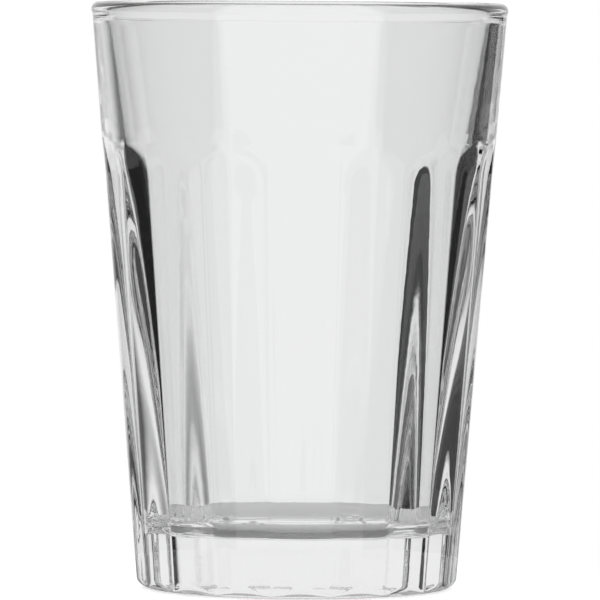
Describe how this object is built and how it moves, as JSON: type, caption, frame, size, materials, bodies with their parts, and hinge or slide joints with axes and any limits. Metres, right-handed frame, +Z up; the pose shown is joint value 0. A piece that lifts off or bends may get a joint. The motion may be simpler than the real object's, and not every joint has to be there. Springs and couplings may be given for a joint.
{
  "type": "rocks glass",
  "caption": "Tapered pressed-glass rocks tumbler with a plain drinking band above shallow arched flutes, a round lip ring and a thick solid base.",
  "frame": {"origin": "centre of the foot on the table plane", "axes": "+Z up along the axis of the glass, -Y towards the viewer through the middle of one flute, +X to the viewer's right"},
  "size_m": [0.079, 0.079, 0.111],
  "materials": {
    "clear_glass": "clear colourless soda-lime glass, fire-polished, with a faint pressed ripple"
  },
  "bodies": {
    "root": {"tumbler": "clear_glass"}
  },
  "joints": []
}
